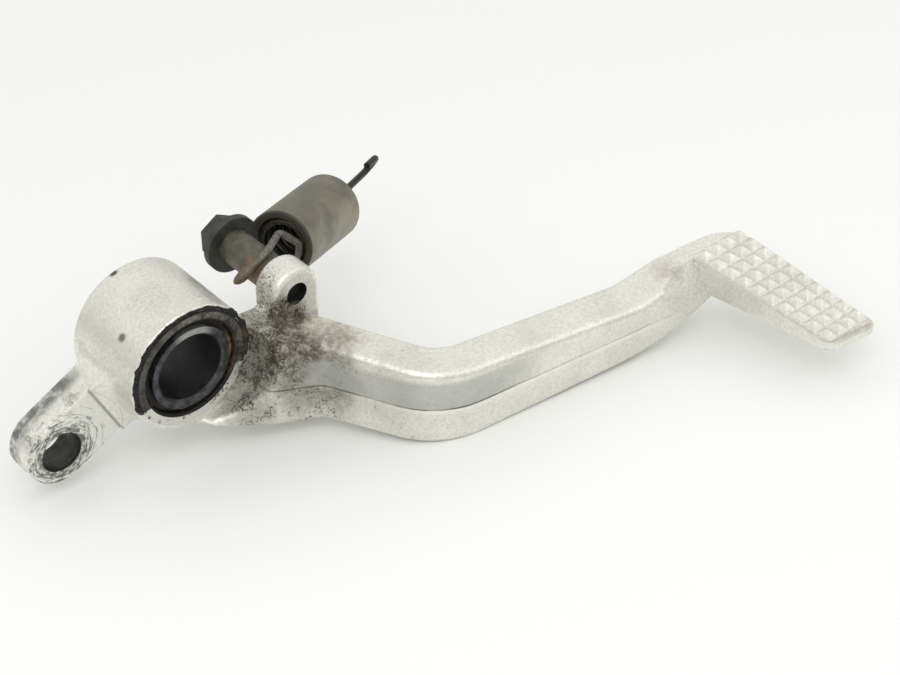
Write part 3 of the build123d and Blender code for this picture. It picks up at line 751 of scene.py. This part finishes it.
# %% Dust seals
RUBBER_BLACK = (0.013, 0.012, 0.011, 1)
RUBBER_DUST = (0.17, 0.163, 0.14, 1)
BARED_METAL = (0.72, 0.715, 0.675, 1)
RUST_STAIN = (0.13, 0.085, 0.05, 1)
TEAR_DEPTH = 0.007
rubber, tree, shader, where = new_material("cracked_rubber")
_, _, z = split(tree, where)
dust = noise(tree, where, 420.0, detail=8.0, rough=0.7)
lip_outside = round_hole(tree, where, 0, 0, radius=16.9)
lip_inside = round_hole(tree, where, 0, 0, radius=15.0)
lip_band = maths(tree, "SUBTRACT", lip_outside, lip_inside, clamp=True)
dusty_top = patch_at(tree, where, (2, -13.3, 16), 12, ragged=0.8)
dusty = times(
    tree,
    lip_band,
    ease(tree, dust, 0.38, 0.62, low=0.15, high=1.0),
    ease(tree, dusty_top, 0.0, 1.0, low=0.55, high=1.0),
)
colour = paint(tree, RUBBER_BLACK, dusty, RUBBER_DUST)
tear = maths(tree, "SUBTRACT", noise(tree, where, 330.0, detail=5.0, rough=0.65), 0.5)
torn_height = maths(tree, "ADD", z, times(tree, tear, TEAR_DEPTH))
bared = times(
    tree,
    ease(tree, torn_height, -0.0062, -0.0068),
    ease(tree, lip_inside, 1.0, 0.0),
    ease(tree, dust, 0.36, 0.46),
)
colour = paint(tree, colour, bared, BARED_METAL)
rusty = patch_at(tree, where, (16, -13, -3), 9)
rusty = times(tree, rusty, ease(tree, dust, 0.44, 0.58, low=0.0, high=0.6))
colour = paint(tree, colour, rusty, RUST_STAIN)
feed(tree, colour, shader.inputs["Base Color"])
feed(tree, times(tree, bared, 0.8), shader.inputs["Metallic"])
shader.inputs["Specular IOR Level"].default_value = 0.3
feed(tree, ease(tree, dust, 0.3, 0.7, low=0.5, high=0.85), shader.inputs["Roughness"])
bumps(tree, shader, dust, strength=0.5, distance=0.0005)
dress("dust_seal_outer", rubber)
dress("dust_seal_inner", rubber)


# %% [markdown]
# The outer lip of the seal is torn to crumbs where it leaves the hub. It is a separate piece: a ring
# that is flattened, cut away low down, and pushed in and out by cloud noise, so its edge breaks up
# over the hub's rim. Bumps in a material would leave its outline smooth.

# %% Torn seal lip
def crumble(piece, name, grain, depth, strength):
    """Pushes a piece's skin in and out by cloud noise and keeps the result."""
    clouds = bpy.data.textures.new(name, "CLOUDS")
    clouds.noise_scale = grain
    clouds.noise_depth = depth
    push = piece.modifiers.new(name, "DISPLACE")
    push.texture = clouds
    push.texture_coords = "LOCAL"
    push.strength = strength
    push.mid_level = 0.5
    bpy.ops.object.modifier_apply(modifier=name)


def settle(piece, body, material):
    """Puts a finished piece's place into its mesh and makes it ride a body."""
    bpy.ops.object.select_all(action="DESELECT")
    piece.select_set(True)
    bpy.context.view_layer.objects.active = piece
    bpy.ops.object.transform_apply(location=True, rotation=True, scale=True)
    bpy.ops.object.shade_smooth_by_angle(angle=radians(50))
    piece.data.materials.clear()
    piece.data.materials.append(material)
    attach(piece, body)
    print(piece.name, "has", len(piece.data.polygons), "faces")


LIP_RADIUS = 0.0181
LIP_HALF = 0.00055
LIP_FLATTEN = (1, 0.55, 1)
LIP_LOW = (0, 0, -0.006)
LIP_CUT = (0.05, 0, -1)
LIP_Y = -0.01315
bpy.ops.object.select_all(action="DESELECT")
bpy.ops.mesh.primitive_torus_add(
    major_radius=LIP_RADIUS,
    minor_radius=LIP_HALF,
    major_segments=360,
    minor_segments=12,
    location=(0, 0, 0),
    rotation=(radians(90), 0, 0),
)
lip = bpy.context.object
lip.name = "torn_seal_lip"
bpy.ops.object.transform_apply(location=True, rotation=True, scale=True)
bpy.ops.object.mode_set(mode="EDIT")
bpy.ops.mesh.select_all(action="SELECT")
bpy.ops.transform.resize(value=LIP_FLATTEN)
bpy.ops.mesh.bisect(plane_co=LIP_LOW, plane_no=LIP_CUT, use_fill=True, clear_outer=True)
bpy.ops.object.mode_set(mode="OBJECT")
crumble(lip, "crumble", grain=0.0034, depth=6, strength=0.0024)
lip.location = (0, LIP_Y, 0)
settle(lip, "lever", rubber)

# %% [markdown]
# The spring post is a shoulder screw of dark coated steel. The spring has rubbed its shoulder to an
# olive grey, and there is rust where the hook sits. The tip inside the ear is painted black, as
# painted shade in the ear's hole. The shoulder is found by the distance from the post's axis and by
# its span along Y.

# %% Spring post
POST_AXIS = metres(35.7, 0, 6.3)
COAT_DARK = (0.042, 0.042, 0.037, 1)
COAT_GREY = (0.082, 0.082, 0.072, 1)
OLIVE_DARK = (0.098, 0.096, 0.074, 1)
OLIVE_GREY = (0.17, 0.166, 0.13, 1)
POST_RUST = (0.25, 0.16, 0.085, 1)
TIP_SHADE = (0.02, 0.02, 0.018, 1)
charcoal, tree, shader, where = new_material("coated_steel")
_, y, _ = split(tree, where)
flat = vector_maths(tree, "MULTIPLY", where, (1, 0, 1))
from_axis = vector_maths(tree, "DISTANCE", flat, POST_AXIS)
grit = noise(tree, where, 420.0, detail=7.0, rough=0.66)
grit_tone = ease(tree, grit, 0.36, 0.66)
colour = paint(tree, COAT_DARK, grit_tone, COAT_GREY)
shoulder = times(
    tree,
    ease(tree, from_axis, 0.0056, 0.0052),
    ease(tree, y, -0.0045, -0.0038),
    ease(tree, y, 0.0156, 0.0148),
)
olive = paint(tree, OLIVE_DARK, grit_tone, OLIVE_GREY)
colour = paint(tree, colour, shoulder, olive, amount=0.85)
rust_under_hook = patch_at(tree, where, (31.5, 1, 8.5), 5, ragged=1.2)
rust_beside_hook = patch_at(tree, where, (30.8, 8, 5.5), 3.5, ragged=1.4)
rust = strongest(tree, (rust_under_hook, 0.75), (rust_beside_hook, 0.5))
rust = times(tree, rust, ease(tree, noise(tree, where, 700.0, detail=5.0), 0.38, 0.58, low=0.3, high=1.0))
colour = paint(tree, colour, rust, POST_RUST)
# Painted shade: the tip inside the ear's hole is painted black.
colour = paint(tree, colour, ease(tree, y, -0.0075, -0.0085), TIP_SHADE, amount=0.85)
feed(tree, colour, shader.inputs["Base Color"])
feed(tree, ease(tree, rust, 0.0, 1.0, low=0.5, high=0.1), shader.inputs["Metallic"])
feed(tree, ease(tree, grit, 0.3, 0.7, low=0.42, high=0.7), shader.inputs["Roughness"])
bumps(tree, shader, grit, strength=0.3, distance=0.0003)
dress("spring_post", charcoal)

# %% [markdown]
# The return spring is bare wire with a film of oil. It is browner at the free end of its hook.
# Inside the tube it is painted near black as painted shade, and that dark colour goes on along the
# wire past the tube. The distance along the tube's axis from its open end tells the two stretches
# apart.

# %% Return spring
TUBE_START = metres(48.34, 11.28, 2.57)
TUBE_AXIS = (0.866, 0.4299, -0.2554)
WIRE_DARK = (0.09, 0.085, 0.066, 1)
WIRE_GREY = (0.23, 0.222, 0.185, 1)
WIRE_BROWN = (0.13, 0.1, 0.06, 1)
WIRE_SHADE_AND_TAIL = (0.03, 0.028, 0.023, 1)
wire, tree, shader, where = new_material("spring_wire")
oily = noise(tree, where, 500.0, detail=7.0, rough=0.68)
colour = paint(tree, WIRE_DARK, ease(tree, oily, 0.38, 0.64), WIRE_GREY)
brown = patch_at(tree, where, (27.5, 1, 7.5), 8, ragged=0.8)
colour = paint(tree, colour, brown, WIRE_BROWN, amount=0.8)
from_tube = vector_maths(tree, "SUBTRACT", where, TUBE_START)
in_tube = vector_maths(tree, "DOT_PRODUCT", from_tube, TUBE_AXIS)
# Painted shade inside the tube, and the same dark colour on the wire past it.
colour = paint(tree, colour, ease(tree, in_tube, -0.0015, 0.0005), WIRE_SHADE_AND_TAIL, amount=0.85)
feed(tree, colour, shader.inputs["Base Color"])
feed(tree, ease(tree, brown, 0.0, 1.0, low=0.7, high=0.2), shader.inputs["Metallic"])
feed(tree, ease(tree, oily, 0.3, 0.7, low=0.32, high=0.55), shader.inputs["Roughness"])
dress("return_spring", wire)

# %% [markdown]
# The free end of the hook is swollen with rust, so it looks thicker than the wire and round at its
# tip. The crust is a ball drawn out along the wire and roughened by the same kind of noise as the
# seal's lip. A thicker wire would swell the whole hook.

# %% Rust on the hook's end
HOOK_END = Vector(metres(26.06, 1.2, 6.95))
HOOK_AIM = Vector((0.767, -0.229, 0.599))
CRUST_RADIUS = 0.0016
CRUST_LENGTH = 2.7
CRUST_OVERHANG = 0.0009
bpy.ops.object.select_all(action="DESELECT")
bpy.ops.mesh.primitive_uv_sphere_add(
    segments=32,
    ring_count=40,
    radius=CRUST_RADIUS,
    location=(0, 0, 0),
)
crust = bpy.context.object
crust.name = "hook_rust"
bpy.ops.object.mode_set(mode="EDIT")
bpy.ops.mesh.select_all(action="SELECT")
bpy.ops.transform.resize(value=(1, 1, CRUST_LENGTH))
bpy.ops.object.mode_set(mode="OBJECT")
crumble(crust, "flakes", grain=0.0011, depth=3, strength=0.0005)
crust.rotation_euler = HOOK_AIM.to_track_quat("Z", "Y").to_euler()
crust.location = HOOK_END + HOOK_AIM * (CRUST_RADIUS * CRUST_LENGTH - CRUST_OVERHANG)
settle(crust, "spring", wire)

# %% [markdown]
# The tube is a nylon sleeve that keeps the spring from rattling. It has gone olive with dirt and its
# low side is paler with dust. Its cut end is painted nearly black, as painted shade. Slow noise
# clouds the olive, and the specks of the casting are used again with a small cover.

# %% Tube over the spring
TUBE_LOW = (0.31, -0.79, -0.53)
NYLON_DARK = (0.118, 0.109, 0.076, 1)
NYLON_OLIVE = (0.185, 0.173, 0.125, 1)
FLECK_BROWN = (0.07, 0.064, 0.048, 1)
NYLON_DUST = (0.36, 0.34, 0.265, 1)
CUT_END_SHADE = (0.035, 0.03, 0.022, 1)
plastic, tree, shader, where = new_material("dirty_nylon")
cloud = noise(tree, where, 120.0, detail=7.0, rough=0.6)
colour = paint(tree, NYLON_DARK, ease(tree, cloud, 0.35, 0.68), NYLON_OLIVE)
flecks = use_group(tree, specks, Place=where, Scale=900.0, Cover=0.16)["Mask"]
colour = paint(tree, colour, flecks, FLECK_BROWN, amount=0.5)
from_tube = vector_maths(tree, "SUBTRACT", where, TUBE_START)
along = vector_maths(tree, "DOT_PRODUCT", from_tube, TUBE_AXIS)
below = vector_maths(tree, "DOT_PRODUCT", from_tube, TUBE_LOW)
dusty = times(tree, ease(tree, below, 0.001, 0.01), ease(tree, cloud, 0.36, 0.6, low=0.2, high=0.7))
colour = paint(tree, colour, dusty, NYLON_DUST)
# Painted shade: the cut end is painted nearly black.
colour = paint(tree, colour, ease(tree, along, 0.0009, 0.0003), CUT_END_SHADE, amount=0.95)
feed(tree, colour, shader.inputs["Base Color"])
feed(tree, ease(tree, cloud, 0.3, 0.7, low=0.42, high=0.6), shader.inputs["Roughness"])
bumps(tree, shader, cloud, strength=0.2, distance=0.0005)
dress("spring_sleeve", plastic)
